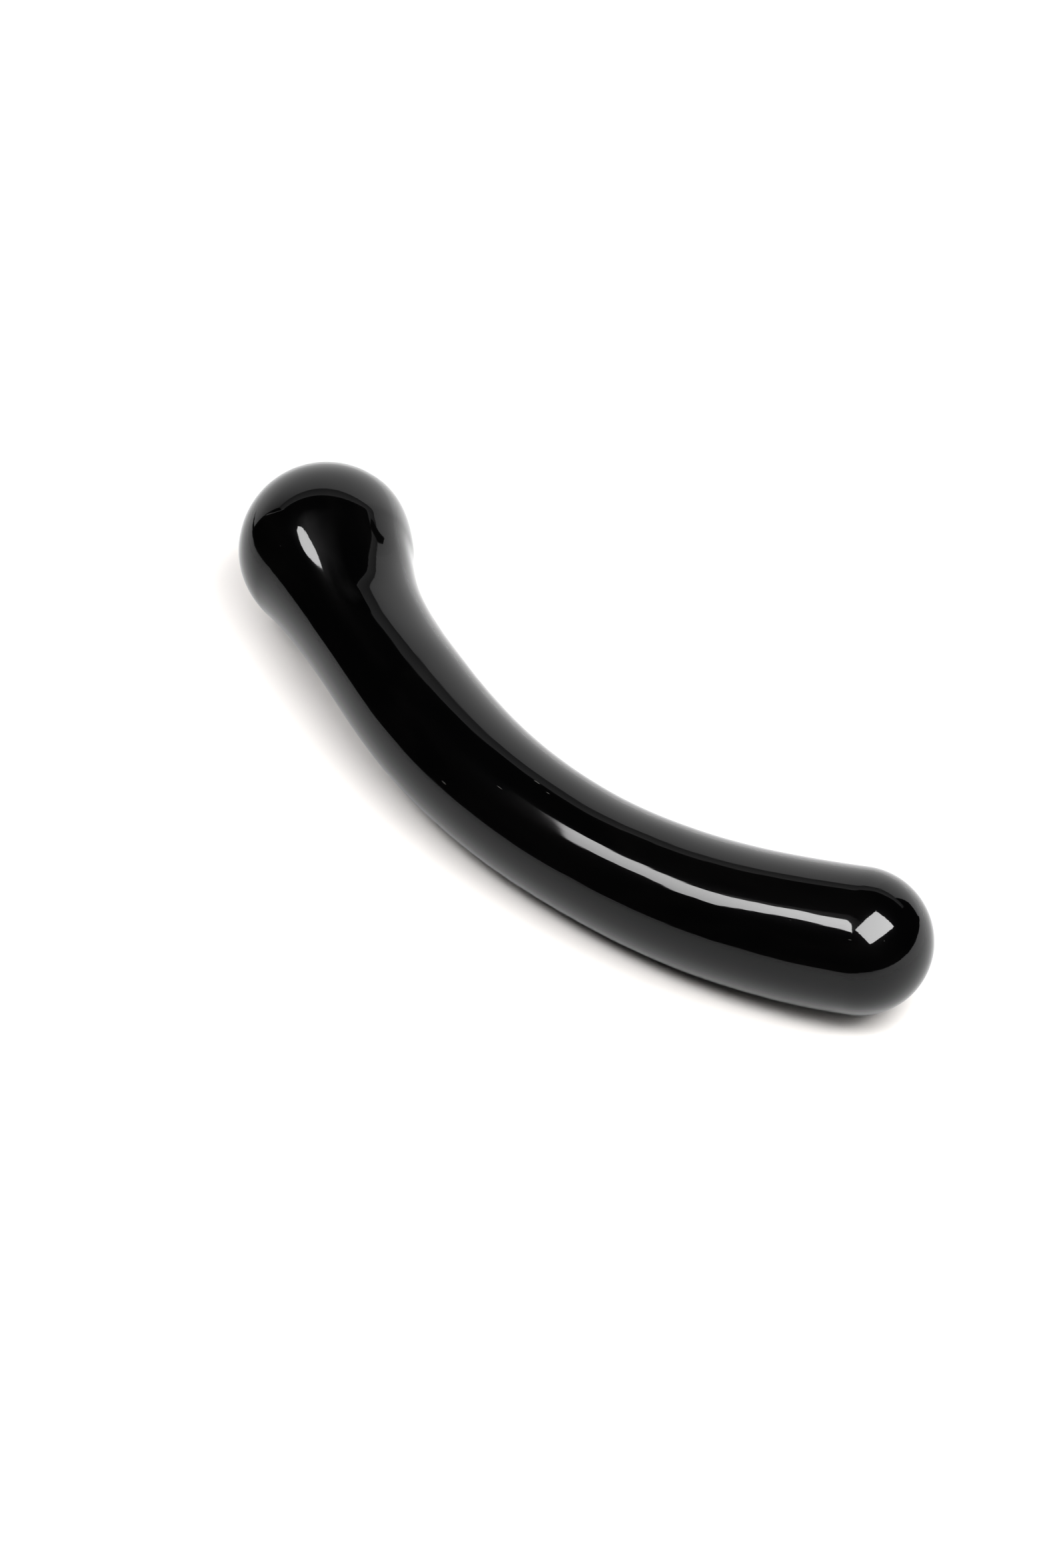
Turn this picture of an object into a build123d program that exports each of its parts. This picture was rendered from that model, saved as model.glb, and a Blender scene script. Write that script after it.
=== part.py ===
from build123d import *
import os
from math import pi, sqrt

# A curved massage wand, shaped and polished from one piece of black stone. It has a round
# ball head, a slimmer shaft that bends one way in one plane, and a rounded, slightly
# swollen tail. Nothing is fitted to it, so the whole object is a single solid.
#
# Millimetres, +Z up. The wand lies as it comes to rest on a flat surface: on the ball and
# on the outside of its bend. The origin is on that surface, under the middle of the
# bounding box. +X runs along the wand, from the ball to the tail.

# Sections. Places are distances along the centreline from the ball's centre.
ball_radius = 18.0
ball_ends_at = 6.5
neck_at = 46.0
neck_radius = 12.8
waist_at = 93.0
waist_radius = 12.2
tail_at = 154.0
tail_radius = 13.7

# Centreline. It is straight inside the ball, then three tangent arcs bend the same way.
neck_bend_radius = 160.0
neck_bend_length = 18.0
easy_bend_radius = 275.0
easy_bend_length = 24.0
main_bend_radius = 135.0

# Resting pose. The plane of the bend leans over its outer side, and the straight line from
# the ball to the tail falls a little, because the ball is the thicker end.
lean_angle = 12.7
tail_drop_angle = 1.03

# The loft's sections are about this far apart.
section_spacing = 6.0


def ease(start, end, share):
    """Goes from start to end, level at both, as share goes from 0 to 1."""
    return start + (end - start) * share * share * (3 - 2 * share)


def neck_curve(distance):
    """Leaves the ball along its surface and levels out at the neck."""
    rim_radius = sqrt(ball_radius**2 - ball_ends_at**2)
    rim_slope = -ball_ends_at / rim_radius
    length = neck_at - ball_ends_at
    share = (distance - ball_ends_at) / length
    leaving = rim_slope * length * share * (1 - share) ** 2
    return ease(rim_radius, neck_radius, share) + leaving


def section_radius(distance):
    """Radius of the round section at a distance along the centreline."""
    if distance < neck_at:
        return neck_curve(distance)
    if distance < waist_at:
        share = (distance - neck_at) / (waist_at - neck_at)
        return ease(neck_radius, waist_radius, share)
    share = (distance - waist_at) / (tail_at - waist_at)
    return ease(waist_radius, tail_radius, share)


def centreline():
    """The line through the middle of the wand, from the ball's centre to the tail's."""
    arcs = [
        (neck_bend_radius, neck_bend_length),
        (easy_bend_radius, easy_bend_length),
        (main_bend_radius, tail_at - ball_ends_at - neck_bend_length - easy_bend_length),
    ]
    run = Line((0, 0), (ball_ends_at, 0))
    pieces = [run]
    for radius, length in arcs:
        turn = length / radius * 180 / pi
        run = JernArc(start=run @ 1, tangent=run % 1, radius=radius, arc_size=turn)
        pieces.append(run)
    return Wire(pieces)


def section_plane(line, distance):
    """The plane square to the centreline at a distance along it."""
    point = line.position_at(distance, position_mode=PositionMode.LENGTH)
    heading = line.tangent_at(distance, position_mode=PositionMode.LENGTH)
    return Plane(origin=point, x_dir=(0, 0, 1), z_dir=heading)


def end_cap(line, distance, centre_distance, radius, keep):
    """The part of a ball on the line that is on one side of a section plane."""
    centre = line.position_at(centre_distance, position_mode=PositionMode.LENGTH)
    ball = Pos(centre) * Sphere(radius)
    return split(ball, bisect_by=section_plane(line, distance), keep=keep)


def shaft(line):
    """The neck, shaft and tail, lofted through round sections."""
    steps = round((tail_at - ball_ends_at) / section_spacing)
    sections = []
    for step in range(steps + 1):
        distance = ball_ends_at + (tail_at - ball_ends_at) * step / steps
        disc = Circle(section_radius(distance))
        sections.append(section_plane(line, distance) * disc)
    return loft(sections)


def at_rest(shape, line):
    """Turns the flat bend to its resting pose, and puts its footprint's middle at the origin."""
    chord = line @ 1 - line @ 0
    chord_angle = Vector(1, 0, 0).get_signed_angle(chord, Vector(0, 0, 1))
    pose = Rot(0, tail_drop_angle, 0) * Rot(lean_angle, 0, 0) * Rot(0, 0, -chord_angle)
    turned = pose * shape
    box = turned.bounding_box()
    return Pos(-box.center().X, -box.center().Y, -box.min.Z) * turned


line = centreline()
ball_end = end_cap(line, ball_ends_at, 0, ball_radius, Keep.BOTTOM)
tail_end = end_cap(line, tail_at, tail_at, tail_radius, Keep.TOP)
wand_body = at_rest(ball_end + shaft(line) + tail_end, line)
wand_body.label = "wand_body"

os.makedirs("parts", exist_ok=True)
export_step(wand_body, "parts/wand_body.step")

box = wand_body.bounding_box()
print("size", box.size.X, box.size.Y, box.size.Z, "volume", wand_body.volume)
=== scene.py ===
import math

import bpy
import numpy as np
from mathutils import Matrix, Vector


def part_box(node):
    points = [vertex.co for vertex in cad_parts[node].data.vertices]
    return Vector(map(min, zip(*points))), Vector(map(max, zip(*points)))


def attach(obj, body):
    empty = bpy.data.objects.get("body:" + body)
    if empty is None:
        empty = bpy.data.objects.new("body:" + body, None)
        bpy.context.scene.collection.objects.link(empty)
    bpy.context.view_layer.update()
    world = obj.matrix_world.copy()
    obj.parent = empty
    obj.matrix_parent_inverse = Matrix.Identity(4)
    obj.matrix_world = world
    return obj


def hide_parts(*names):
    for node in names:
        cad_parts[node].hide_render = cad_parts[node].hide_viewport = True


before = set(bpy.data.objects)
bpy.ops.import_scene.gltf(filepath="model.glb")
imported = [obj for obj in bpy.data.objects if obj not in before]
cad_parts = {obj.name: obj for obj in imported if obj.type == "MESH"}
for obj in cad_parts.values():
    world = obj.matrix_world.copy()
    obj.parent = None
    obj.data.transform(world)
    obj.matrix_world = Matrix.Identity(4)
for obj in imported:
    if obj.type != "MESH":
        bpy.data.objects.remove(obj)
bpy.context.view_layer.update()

# A curved massage wand, cut and polished from one black stone, on a white studio table.
# Metres, +Z up. The wand lies as the CAD part lies, from the ball at -X to the tail at +X.

# Driving dimensions. Places are distances along the centreline from the ball's centre.
BALL_RADIUS = 0.018
BALL_ENDS_AT = 0.0065
NECK_AT = 0.046
NECK_RADIUS = 0.0128
WAIST_AT = 0.093
WAIST_RADIUS = 0.0122
TAIL_AT = 0.154
TAIL_RADIUS = 0.0137

# The centreline is straight in the ball, then three arcs bend it the same way: length, radius.
ARCS = [(0.018, 0.160), (0.024, 0.275), (0.1055, 0.135)]
ARC_BLEND = 0.008

# Resting pose, in degrees.
LEAN_ANGLE = 12.7
TAIL_DROP_ANGLE = 1.03

# Fineness of the mesh.
RING_SPACING = 0.0005
RING_POINTS = 176

# Hand grinding leaves faint waves in the surface: amplitude, wavelength along the wand, waves
# round it, and the share of a turn that each starts at.
GRINDING_WAVES = [
    (0.000022, 0.047, 1, 0.10),
    (0.000016, 0.031, 2, 0.35),
    (0.000005, 0.022, 3, 0.80),
    (0.000004, 0.017, 2, 0.55),
    (0.000002, 0.012, 4, 0.20),
]

# Shaping by hand leaves broad dents and swellings where the neck meets the ball: place, angle
# round the wand in degrees, lift, and how far each reaches along and round (in degrees).
HAND_SHAPING = [
    (0.0060, 8, -0.00058, 0.0072, 24),
    (0.0097, 49, 0.00054, 0.0066, 37),
    (0.0217, 81, -0.00018, 0.0037, 16),
    (0.0322, 81.5, 0.00029, 0.0091, 15),
]

# Small scratches and specks: place, angle round the wand in degrees, length and width.
SCRATCHES = [
    (0.0045, 90, 0.00060, 0.00012),
    (0.0030, 93, 0.00012, 0.00012),
    (0.0049, 131, 0.00015, 0.00012),
    (0.0070, 124, 0.00010, 0.00010),
    (0.0360, 100, 0.00040, 0.00008),
    (0.0712, 136, 0.00080, 0.00020),
    (0.0816, 108, 0.00090, 0.00008),
    (0.0866, 84, 0.00100, 0.00015),
    (0.0900, 87, 0.00060, 0.00010),
    (0.1547, 123, 0.00050, 0.00010),
]

# The camera looks down at a point on the table. Angles are in degrees.
CAMERA_AZIMUTH = 46.6
CAMERA_ELEVATION = 44.0
CAMERA_DISTANCE = 0.6865
CAMERA_LENS = 80.0
LOOK_AT = Vector((-0.00777, 0.00134, 0.0))

# The bright wall behind the wand, and the sloped strip that runs along its top.
WALL_LEFT, WALL_RIGHT = -0.42, 0.61
WALL_AWAY = 0.250
WALL_TOP = 0.292
STRIP_AWAY = 0.200
STRIP_TOP = 0.335

# Heights of the two softboxes, of the haze over them, and of the cards close over the ball.
SOFTBOX_HEIGHT = 0.85
HAZE_HEIGHT = 0.86
DIM_CARD_HEIGHT = 0.047
LEAF_CARD_HEIGHT = 0.045

# The table's mirrored layers lie this far over it, so that no two surfaces coincide.
TABLE_TOP_HEIGHT = 0.00003
TABLE_NEAR_HEIGHT = 0.00006
TABLE_PALENESS = 0.8
DOME_RADIUS = 4.2


def ease(start, end, share):
    """Goes from start to end, level at both, as share goes from 0 to 1."""
    share = np.clip(share, 0.0, 1.0)
    return start + (end - start) * share * share * (3 - 2 * share)


def shaft_radius(place):
    """Radius of the round sections from the ball's rim to the tail, at each place."""
    rim_radius = math.sqrt(BALL_RADIUS**2 - BALL_ENDS_AT**2)
    length = NECK_AT - BALL_ENDS_AT
    share = np.clip((place - BALL_ENDS_AT) / length, 0.0, 1.0)
    leaving = -BALL_ENDS_AT / rim_radius * length * share * (1 - share) ** 2
    neck = ease(rim_radius, NECK_RADIUS, share) + leaving
    waist = ease(0.0, WAIST_RADIUS - NECK_RADIUS, (place - NECK_AT) / (WAIST_AT - NECK_AT))
    tail = ease(0.0, TAIL_RADIUS - WAIST_RADIUS, (place - WAIST_AT) / (TAIL_AT - WAIST_AT))
    return neck + waist + tail


def outline():
    """Places and radii from one pole to the other, evenly spaced along the surface."""
    rim_angle = math.acos(BALL_ENDS_AT / BALL_RADIUS)
    ball = np.linspace(math.pi, rim_angle, 200)
    shaft = np.linspace(BALL_ENDS_AT, TAIL_AT, 1200)
    tail = np.linspace(math.pi / 2, 0.0, 100)
    place = [BALL_RADIUS * np.cos(ball), shaft[1:], TAIL_AT + TAIL_RADIUS * np.cos(tail[1:])]
    radius = [BALL_RADIUS * np.sin(ball), shaft_radius(shaft[1:]), TAIL_RADIUS * np.sin(tail[1:])]
    place, radius = np.concatenate(place), np.concatenate(radius)
    along = np.concatenate([[0.0], np.cumsum(np.hypot(np.diff(place), np.diff(radius)))])
    even = np.linspace(0.0, along[-1], round(along[-1] / RING_SPACING) + 1)
    return np.interp(even, along, place), np.maximum(np.interp(even, along, radius), 0.0)


def centreline(place):
    """Points and headings of the centreline, in the flat plane of the bend."""
    step = 0.0001
    fine = np.arange(-0.03, 0.20, step)
    bend = np.zeros_like(fine)
    start = BALL_ENDS_AT
    for length, radius in ARCS:
        bend[(fine >= start) & (fine < start + length)] = 1 / radius
        start += length
    window = np.hanning(round(ARC_BLEND / step))
    bend = np.convolve(bend, window / window.sum(), "same")
    heading = np.cumsum(bend) * step
    x, y = np.cumsum(np.cos(heading)) * step, np.cumsum(np.sin(heading)) * step
    values = [np.interp(place, fine, column) for column in (x, y, heading)]
    ends = [np.array([np.interp(p, fine, c) for c in (x, y)]) for p in (0.0, TAIL_AT)]
    return values, ends[1] - ends[0]


def grinding(place, angle):
    """How far the faint waves of hand grinding lift the surface."""
    lift = np.zeros_like(place)
    for amplitude, wavelength, around, start in GRINDING_WAVES:
        wave = 2 * math.pi * (place / wavelength + start) + around * angle
        lift += amplitude * np.sin(wave)
    return lift


def shaping(place, angle):
    """How far the dents and swellings of hand shaping lift the surface."""
    lift = np.zeros_like(place)
    for along, turn, height, length, arc in HAND_SHAPING:
        away = (np.degrees(angle) - turn + 180) % 360 - 180
        lift += height * np.exp(-(((place - along) / length) ** 2) - (away / arc) ** 2)
    return lift


def wand_surface():
    """The rings of points of the resting wand, and the same points on a straightened wand."""
    place, radius = outline()
    (x, y, heading), chord = centreline(place)
    angle = np.linspace(0.0, 2 * math.pi, RING_POINTS, endpoint=False)
    side, up = np.cos(angle)[None], np.sin(angle)[None]
    places = place[:, None] + 0 * angle
    lift = grinding(places, angle[None]) + shaping(places, angle[None])
    width = radius[:, None] + lift * radius[:, None] / TAIL_RADIUS
    flat = np.stack(
        [
            x[:, None] - np.sin(heading)[:, None] * width * side,
            y[:, None] + np.cos(heading)[:, None] * width * side,
            width * up,
        ],
        axis=2,
    )
    straight = np.stack([places, width * side, width * up], axis=2)
    return flat @ resting_turn(chord).T, straight


def turn_about(axis, angle):
    """The matrix of a turn about an axis, in radians."""
    c, s = math.cos(angle), math.sin(angle)
    return {
        "X": np.array([[1, 0, 0], [0, c, -s], [0, s, c]]),
        "Y": np.array([[c, 0, s], [0, 1, 0], [-s, 0, c]]),
        "Z": np.array([[c, -s, 0], [s, c, 0], [0, 0, 1]]),
    }[axis]


def resting_turn(chord):
    """Turns the flat bend so that its chord is along X and it leans as it lies."""
    drop, lean = math.radians(TAIL_DROP_ANGLE), math.radians(LEAN_ANGLE)
    chord_angle = math.atan2(chord[1], chord[0])
    return turn_about("Y", drop) @ turn_about("X", lean) @ turn_about("Z", -chord_angle)


def make_wand():
    """One closed mesh: a pole point at each end and rings of quads between them."""
    points, straight = wand_surface()
    low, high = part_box("wand_body")
    box_low, box_high = points.min(axis=(0, 1)), points.max(axis=(0, 1))
    shift = (np.array(low) + np.array(high) - box_low - box_high) / 2
    shift[2] = low[2] - box_low[2]
    points = points + shift

    rings = points.shape[0]
    inner = points[1:-1].reshape(-1, 3)
    vertices = [points[0, 0], *inner, points[-1, 0]]
    laid = [straight[0, 0], *straight[1:-1].reshape(-1, 3), straight[-1, 0]]
    last = len(vertices) - 1
    faces = []
    for ring in range(rings - 3):
        for k in range(RING_POINTS):
            here = 1 + ring * RING_POINTS
            there = here + RING_POINTS
            beside = (k + 1) % RING_POINTS
            faces.append((here + k, here + beside, there + beside, there + k))
    final = 1 + (rings - 3) * RING_POINTS
    for k in range(RING_POINTS):
        beside = (k + 1) % RING_POINTS
        faces.append((0, 1 + beside, 1 + k))
        faces.append((last, final + k, final + beside))

    mesh = bpy.data.meshes.new("polished_wand")
    mesh.from_pydata([tuple(v) for v in vertices], [], faces)
    mesh.shade_smooth()
    laid_out = mesh.attributes.new("laid_straight", "FLOAT_VECTOR", "POINT")
    laid_out.data.foreach_set("vector", np.array(laid, dtype=np.float32).ravel())
    wand = bpy.data.objects.new("polished_wand", mesh)
    bpy.context.scene.collection.objects.link(wand)
    return wand


class Nodes:
    """Short calls for building a material's nodes."""

    def __init__(self, name):
        self.material = bpy.data.materials.new(name)
        self.material.use_nodes = True
        self.tree = self.material.node_tree
        self.shader = self.tree.nodes["Principled BSDF"]

    def add(self, kind, inputs=(), **settings):
        node = self.tree.nodes.new(kind)
        for key, value in settings.items():
            setattr(node, key, value)
        for key, value in dict(inputs).items():
            if isinstance(value, bpy.types.NodeSocket):
                self.tree.links.new(value, node.inputs[key])
            else:
                node.inputs[key].default_value = value
        return node

    def math(self, operation, *values):
        node = self.add("ShaderNodeMath", dict(enumerate(values)), operation=operation)
        return node.outputs[0]

    def between(self, value, low, high, out_low, out_high):
        """Maps low..high to out_low..out_high, smoothly and clamped."""
        inputs = {"Value": value, "From Min": low, "From Max": high}
        inputs.update({"To Min": out_low, "To Max": out_high})
        return self.add("ShaderNodeMapRange", inputs, interpolation_type="SMOOTHSTEP").outputs[0]

    def stretched(self, place, scale):
        node = self.add("ShaderNodeVectorMath", {0: place, 1: scale}, operation="MULTIPLY")
        return node.outputs[0]

    def noise(self, place, scale, detail=2.0, roughness=0.5, distortion=0.0):
        inputs = {"Vector": place, "Scale": scale, "Detail": detail}
        inputs.update({"Roughness": roughness, "Distortion": distortion})
        return self.add("ShaderNodeTexNoise", inputs).outputs["Fac"]

    def dots(self, place, cells_per_metre, radius, share):
        """1 in small round dots of the given radius, in a share of the cells, else 0."""
        cell = self.add("ShaderNodeTexVoronoi", {"Vector": place, "Scale": cells_per_metre})
        chosen = self.math("LESS_THAN", cell.outputs["Color"], share)
        size = radius * cells_per_metre
        dot = self.between(cell.outputs["Distance"], size * 0.5, size, 1.0, 0.0)
        return self.math("MULTIPLY", dot, chosen)


def scratched(n, place):
    """1 on the scratches and specks, else 0."""
    total = 0.0
    for along, angle, length, width in SCRATCHES:
        radius = BALL_RADIUS if along < BALL_ENDS_AT else float(shaft_radius(min(along, TAIL_AT)))
        turn = math.radians(angle)
        spot = (along, radius * math.cos(turn), radius * math.sin(turn))
        away = n.add("ShaderNodeVectorMath", {0: place, 1: spot}, operation="SUBTRACT").outputs[0]
        away = n.stretched(away, (1 / length, 1 / width, 1 / width))
        size = n.add("ShaderNodeVectorMath", {0: away}, operation="LENGTH").outputs["Value"]
        total = n.math("MAXIMUM", n.between(size, 0.5, 1.0, 1.0, 0.0), total)
    return total


def polished_black_stone():
    """Near-black, mirror-polished stone with polishing marks, pits, dust and faint haze."""
    n = Nodes("polished_black_stone")
    place = n.add("ShaderNodeAttribute", attribute_name="laid_straight").outputs["Vector"]

    # Colour: faint flow bands along the stone, and specks of dust that are a little lighter.
    along = n.stretched(place, (0.35, 1.0, 1.0))
    flow = n.noise(along, 90.0, detail=4.0, distortion=1.2)
    bands = n.between(flow, 0.35, 0.75, 0.0, 1.0)
    stone = n.add("ShaderNodeMix", {"Factor": bands}, data_type="RGBA")
    stone.inputs["A"].default_value = (0.0022, 0.0022, 0.0024, 1.0)
    stone.inputs["B"].default_value = (0.0045, 0.0043, 0.0043, 1.0)
    dust = n.math("MAXIMUM", n.dots(place, 160.0, 0.00011, 0.25), scratched(n, place))
    specked = n.add("ShaderNodeMix", {"Factor": dust}, data_type="RGBA")
    n.tree.links.new(stone.outputs["Result"], specked.inputs["A"])
    specked.inputs["B"].default_value = (0.035, 0.034, 0.032, 1.0)
    n.tree.links.new(specked.outputs["Result"], n.shader.inputs["Base Color"])

    # Gloss: a near mirror, a little duller in smeared patches and on the dust.
    smears = n.noise(n.stretched(place, (0.5, 1.0, 1.0)), 70.0, detail=3.0)
    gloss = n.between(smears, 0.45, 0.8, 0.045, 0.09)
    gloss = n.math("MAXIMUM", gloss, n.math("MULTIPLY", dust, 0.6))
    n.tree.links.new(gloss, n.shader.inputs["Roughness"])

    # Relief: fine marks of polishing that run along the wand, and tiny pits.
    marks = n.noise(n.stretched(place, (0.05, 1.0, 1.0)), 2600.0, detail=1.0)
    pits = n.dots(place, 330.0, 0.00010, 0.3)
    height = n.math("SUBTRACT", n.math("MULTIPLY", marks, 0.35), pits)
    bump = n.add("ShaderNodeBump", {"Height": height, "Strength": 0.5, "Distance": 0.00002})
    n.tree.links.new(bump.outputs["Normal"], n.shader.inputs["Normal"])

    # A weak, rougher coat gives the soft glow beside bright reflections.
    n.shader.inputs["IOR"].default_value = 1.5
    n.shader.inputs["Coat Weight"].default_value = 0.05
    n.shader.inputs["Coat Roughness"].default_value = 0.28
    return n.material


def glowing(name, strength):
    """A plain emitting material for the studio's panels."""
    n = Nodes(name)
    n.shader.inputs["Base Color"].default_value = (0.0, 0.0, 0.0, 1.0)
    n.shader.inputs["Specular IOR Level"].default_value = 0.0
    n.shader.inputs["Emission Color"].default_value = (1.0, 1.0, 1.0, 1.0)
    n.shader.inputs["Emission Strength"].default_value = strength
    return n.material


def graded(name, least, most):
    """An emitting material whose strength is each corner's glow, kept between two limits."""
    n = Nodes(name)
    n.shader.inputs["Base Color"].default_value = (0.0, 0.0, 0.0, 1.0)
    n.shader.inputs["Specular IOR Level"].default_value = 0.0
    n.shader.inputs["Emission Color"].default_value = (1.0, 1.0, 1.0, 1.0)
    glow = n.add("ShaderNodeAttribute", attribute_name="glow").outputs["Fac"]
    glow = n.math("MINIMUM", n.math("MAXIMUM", glow, least), most)
    n.tree.links.new(glow, n.shader.inputs["Emission Strength"])
    return n.material


def table_white():
    """The pale matt table. Far out it glows by each corner's glow, so that it stays white."""
    n = Nodes("table_white")
    n.shader.inputs["Base Color"].default_value = (0.81, 0.787, 0.768, 1.0)
    n.shader.inputs["Roughness"].default_value = 0.9
    n.shader.inputs["Specular IOR Level"].default_value = 0.2
    n.shader.inputs["Emission Color"].default_value = (1.0, 1.0, 1.0, 1.0)
    glow = n.add("ShaderNodeAttribute", attribute_name="glow").outputs["Fac"]
    n.tree.links.new(glow, n.shader.inputs["Emission Strength"])
    return n.material


def table_paper_painted_light():
    """The table near the wand as the stone mirrors it. Its colour is painted light: each corner's
    glow is its paleness.
    """
    n = Nodes("table_paper_painted_light")
    n.shader.inputs["Roughness"].default_value = 1.0
    n.shader.inputs["Specular IOR Level"].default_value = 0.0
    # Painted light: the base colour is each corner's paleness, worked out from the glow the stone
    # should see.
    pale = n.add("ShaderNodeAttribute", attribute_name="glow").outputs["Fac"]
    n.tree.links.new(pale, n.shader.inputs["Base Color"])
    return n.material


# The studio is laid out from the camera: right of it, away from it and up, from LOOK_AT.
TURN = math.radians(CAMERA_AZIMUTH)
RIGHT = Vector((math.cos(TURN), math.sin(TURN), 0.0))
AWAY = Vector((-math.sin(TURN), math.cos(TURN), 0.0))
UP = Vector((0.0, 0.0, 1.0))


def studio(right, away, up):
    """A place in the studio, in metres."""
    return LOOK_AT + RIGHT * right + AWAY * away + UP * up


def towards(azimuth, elevation):
    """A unit direction in the studio: azimuth 0 is away from the camera, 90 to its right."""
    a, e = math.radians(azimuth), math.radians(elevation)
    level = RIGHT * math.sin(a) + AWAY * math.cos(a)
    return level * math.cos(e) + UP * math.sin(e)


def stage_sheet(name, rows, material, glows=None, seen_by=("glossy",)):
    """A sheet of the studio through rows of corners, seen only by the named kinds of ray."""
    width = len(rows[0])
    corners = [tuple(corner) for row in rows for corner in row]
    faces = []
    for r in range(len(rows) - 1):
        for c in range(width - 1):
            here, there = r * width + c, (r + 1) * width + c
            faces.append((here, here + 1, there + 1, there))
    return stage_mesh(name, corners, faces, material, glows, seen_by)


def stage_panel(name, corners, material, glows=None, seen_by=("glossy",)):
    """A flat many-cornered piece of the studio, seen only by the named kinds of ray."""
    faces = [tuple(range(len(corners)))]
    return stage_mesh(name, [tuple(c) for c in corners], faces, material, glows, seen_by)


def stage_mesh(name, corners, faces, material, glows, seen_by):
    mesh = bpy.data.meshes.new(name)
    mesh.from_pydata(corners, [], faces)
    mesh.materials.append(material)
    if glows is not None:
        mesh.attributes.new("glow", "FLOAT", "POINT").data.foreach_set("value", glows)
    panel = bpy.data.objects.new(name, mesh)
    bpy.context.scene.collection.objects.link(panel)
    panel.visible_camera = "camera" in seen_by
    panel.visible_glossy = "glossy" in seen_by
    panel.visible_diffuse = "diffuse" in seen_by
    panel.visible_shadow = "shadow" in seen_by
    return panel


def softbox(name, edge, strength_left, strength_right, seen_by):
    """A level softbox through its edge's corners. Its glow grows to the right."""
    left = min(x for x, y in edge)
    right = max(x for x, y in edge)
    glows = []
    for x, y in edge:
        share = (x - left) / (right - left)
        glows.append(strength_left + (strength_right - strength_left) * share)
    corners = [studio(x, y, SOFTBOX_HEIGHT) for x, y in edge]
    stage_panel(name, corners, graded(name, 0.0, 20.0), glows, (seen_by,))


def table_glow(x, y):
    """How bright the stone sees the table: brightest behind and right of the wand."""
    return 1.10 + 1.6 * x + 1.2 * y


def table_light(x, y):
    """How brightly the softboxes and the wall light the open table near the wand."""
    across = 1.038 + 0.283 * x - 0.378 * x**2 - 0.625 * x * y
    return across - 0.343 * y + 2.105 * y**2 + 6.341 * y**3


def make_table():
    """The table as the camera sees it, and its nearer part as the polished stone sees it."""
    turns = [2 * math.pi * k / 96 for k in range(97)]
    rings = []
    for radius in (0.3, 0.6, 4.0):
        ring = [LOOK_AT + Vector((math.cos(t), math.sin(t), 0.0)) * radius for t in turns]
        rings.append(ring)
    white, seen_by = table_white(), ("camera", "diffuse", "shadow")
    stage_panel("table", rings[0][:-1], white, [0.0] * 96, seen_by)
    stage_sheet("far_table", rings, white, [0.0] * 97 + [1.0] * 194, seen_by)

    edge = [
        (-0.25, 0.25), (-0.25, -0.06), (-0.19, -0.18), (0.0, -0.20),
        (0.06, -0.40), (0.4, -0.9), (3.0, -0.9), (3.0, 0.25),
    ]
    corners = [studio(x, y, TABLE_TOP_HEIGHT) for x, y in edge]
    glows = [table_glow(x, y) for x, y in edge]
    stage_panel("table_top", corners, graded("table_top", 0.05, 1.30), glows)

    # Near the wand the mirrored table is lit by the lamps, so that the wand's shade shows in it.
    steps = [-0.14 + 0.02 * k for k in range(15)]
    rows = [[studio(x, y, TABLE_NEAR_HEIGHT) for x in steps] for y in steps]
    # Painted light: each paleness is the glow the stone should see, divided by the lamps' light.
    painted_light_albedos = []
    for y in steps:
        for x in steps:
            glow = min(table_glow(x, y), 1.30)
            painted_light_albedos.append(TABLE_PALENESS * glow / table_light(x, y))
    stage_sheet("table_near", rows, table_paper_painted_light(), painted_light_albedos)


def make_sweep():
    """The bright wall behind the wand, cut away at its right, and the strip along its top."""
    columns = (WALL_LEFT, -0.15, 0.205)
    heights = {0.0: (0.85, 1.10, 1.20), 0.132: (0.60, 1.05, 1.18), WALL_TOP: (0.50, 0.95, 1.14)}
    rows = [[studio(x, WALL_AWAY, z) for x in columns] for z in heights]
    glows = [glow for row in heights.values() for glow in row]
    stage_sheet("sweep", rows, graded("sweep", 0.0, 2.0), glows)

    edge = [
        (0.205, 0.0), (0.613, 0.0), (0.613, 0.040), (0.521, 0.082), (0.467, 0.117),
        (0.427, 0.178), (0.416, 0.275), (0.414, WALL_TOP), (0.205, WALL_TOP),
    ]
    corners = [studio(x, WALL_AWAY, z) for x, z in edge]
    glows = [1.18 - 0.5 * z for x, z in edge]
    stage_panel("sweep_right", corners, graded("sweep_right", 0.0, 2.0), glows)

    far = [studio(x, 1.2, z) for x, z in ((0.6, 0.45), (1.36, 0.45), (1.36, 1.15), (0.6, 1.15))]
    stage_panel("far_wall", far, glowing("far_wall", 1.0))

    # The strip slopes up towards the wand, and it is palest at its top.
    strip = {0.0: 0.25, 0.3: 0.35, 0.8: 0.50, 1.0: 0.62}
    rows = []
    for share in strip:
        away = WALL_AWAY + (STRIP_AWAY - WALL_AWAY) * share
        up = WALL_TOP + (STRIP_TOP - WALL_TOP) * share
        rows.append([studio(WALL_LEFT, away, up), studio(0.60, away, up)])
    glows = [glow for glow in strip.values() for _ in range(2)]
    stage_sheet("strip", rows, graded("strip", 0.0, 1.0), glows)

    rail = [
        (-0.385, 0.335), (-0.404, 0.293), (-0.381, 0.201), (-0.340, 0.120),
        (-0.350, 0.116), (-0.393, 0.200), (-0.417, 0.293), (-0.400, 0.345),
    ]
    corners = [studio(x, STRIP_AWAY, z) for x, z in rail]
    stage_panel("left_rail", corners, glowing("left_rail", 0.95))


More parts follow.
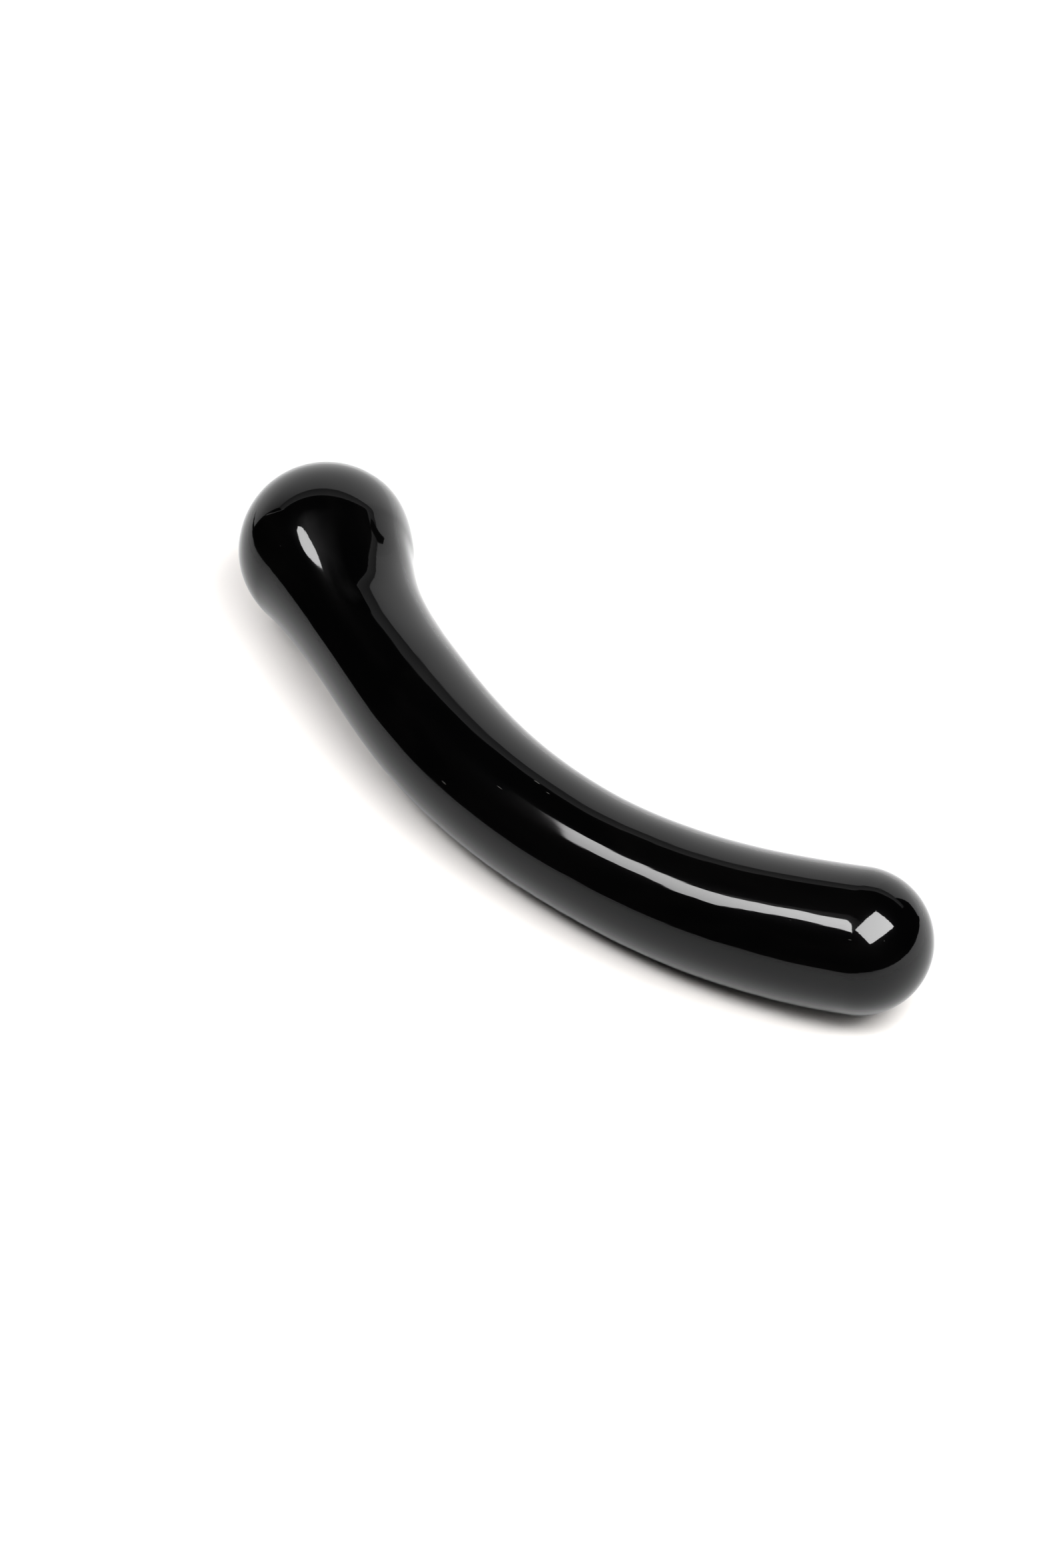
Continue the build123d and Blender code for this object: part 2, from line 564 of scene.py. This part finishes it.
def make_softboxes():
    """The two softboxes that the stone mirrors as a diamond and as a long thin strip."""
    key = [(0.356, -0.003), (1.002, -0.279), (0.297, -1.025), (-0.123, -0.480)]
    softbox("key_softbox", key, 9.4, 10.8, "glossy")
    softbox("key_light", key, 6.6, 7.6, "diffuse")
    side = [
        (-0.495, 0.090), (-0.485, -0.100), (-0.440, -0.140), (-0.370, -0.146),
        (-0.293, -0.165), (-0.244, -0.211), (-0.190, -0.340), (-0.225, -0.574),
        (-0.332, -0.505), (-0.389, -0.364), (-0.507, -0.368), (-0.666, -0.426),
        (-0.737, -0.367), (-0.720, -0.239), (-0.800, -0.160), (-0.640, -0.035),
    ]
    softbox("side_softbox", side, 6.3, 10.8, "glossy")
    softbox("side_light", side, 5.9, 11.8, "diffuse")

    haze = {(-0.45, -0.10): 0.6, (-0.20, -0.10): 0.3, (0.05, -0.30): 0.1, (-0.22, -0.58): 0.6}
    corners = [studio(x, y, HAZE_HEIGHT) for x, y in haze]
    stage_panel("haze", corners, graded("haze", 0.0, 1.0), list(haze.values()))

    # Close over the ball, a dim card and a bright leaf-shaped one under it.
    columns = {-0.066: 0.0, -0.056: 0.05, -0.050: 0.60, -0.043: 0.25, -0.036: 0.0}
    shares = {0.031: 0.0, 0.0345: 1.0, 0.040: 0.6, 0.045: 0.0}
    rows = [[studio(x, y, DIM_CARD_HEIGHT) for x in columns] for y in shares]
    glows = [glow * share for share in shares.values() for glow in columns.values()]
    stage_sheet("dim_card", rows, graded("dim_card", 0.0, 1.0), glows)
    edge = [
        (-53.6, 37.1), (-51.8, 36.4), (-50.8, 35.9), (-50.1, 35.0), (-49.9, 33.9),
        (-49.9, 32.9), (-51.2, 32.0), (-54.0, 32.0), (-57.2, 32.3), (-58.4, 32.8),
        (-57.7, 33.6), (-55.9, 34.8),
    ]
    corners = [studio(x / 1000, y / 1000, LEAF_CARD_HEIGHT) for x, y in edge]
    stage_panel("leaf_card", corners, glowing("leaf_card", 9.5))

    # A small black card beside the neck.
    edge = [
        (47.2, 39.7), (47.0, 38.7), (44.6, 35.0), (43.6, 31.9), (42.4, 32.6), (42.4, 35.0),
        (43.7, 37.6), (45.0, 40.2),
    ]
    corners = [studio(-0.022, y / 1000, z / 1000) for y, z in edge]
    stage_panel("neck_card", corners, glowing("neck_card", 0.0))


def make_backdrop():
    """The light that the wall throws on the table, and a pale dome that only the camera sees."""
    rows = [[studio(x, WALL_AWAY, z) for x in (WALL_LEFT, WALL_RIGHT)] for z in (0.0, WALL_TOP)]
    glows = [1.6, 1.6, 1.0, 1.0]
    stage_sheet("wall_light", rows, graded("wall_light", 0.0, 3.0), glows, ("diffuse",))

    bpy.ops.mesh.primitive_uv_sphere_add(
        segments=48, ring_count=24, radius=DOME_RADIUS, location=LOOK_AT
    )
    dome = bpy.context.object
    dome.name = "dome"
    dome.data.materials.append(glowing("dome", 1.0))
    dome.visible_glossy = False
    dome.visible_diffuse = False
    dome.visible_shadow = False


def make_camera():
    data = bpy.data.cameras.new("camera")
    data.lens = CAMERA_LENS
    data.sensor_width = 36.0
    camera = bpy.data.objects.new("camera", data)
    bpy.context.scene.collection.objects.link(camera)
    back = -towards(0.0, 0.0) * math.cos(math.radians(CAMERA_ELEVATION))
    back += UP * math.sin(math.radians(CAMERA_ELEVATION))
    camera.location = LOOK_AT + back * CAMERA_DISTANCE
    camera.rotation_mode = "QUATERNION"
    camera.rotation_quaternion = (-back).to_track_quat("-Z", "Y")
    bpy.context.scene.camera = camera


make_camera()
make_table()
make_sweep()
make_softboxes()
make_backdrop()
wand = make_wand()
wand.data.materials.append(polished_black_stone())
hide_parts("wand_body")
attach(wand, "root")

world = bpy.data.worlds.new("studio")
world.use_nodes = True
world.node_tree.nodes["Background"].inputs["Color"].default_value = (0.0, 0.0, 0.0, 1.0)
bpy.context.scene.world = world
bpy.context.scene.view_settings.view_transform = "Standard"
bpy.context.scene.view_settings.look = "High Contrast"
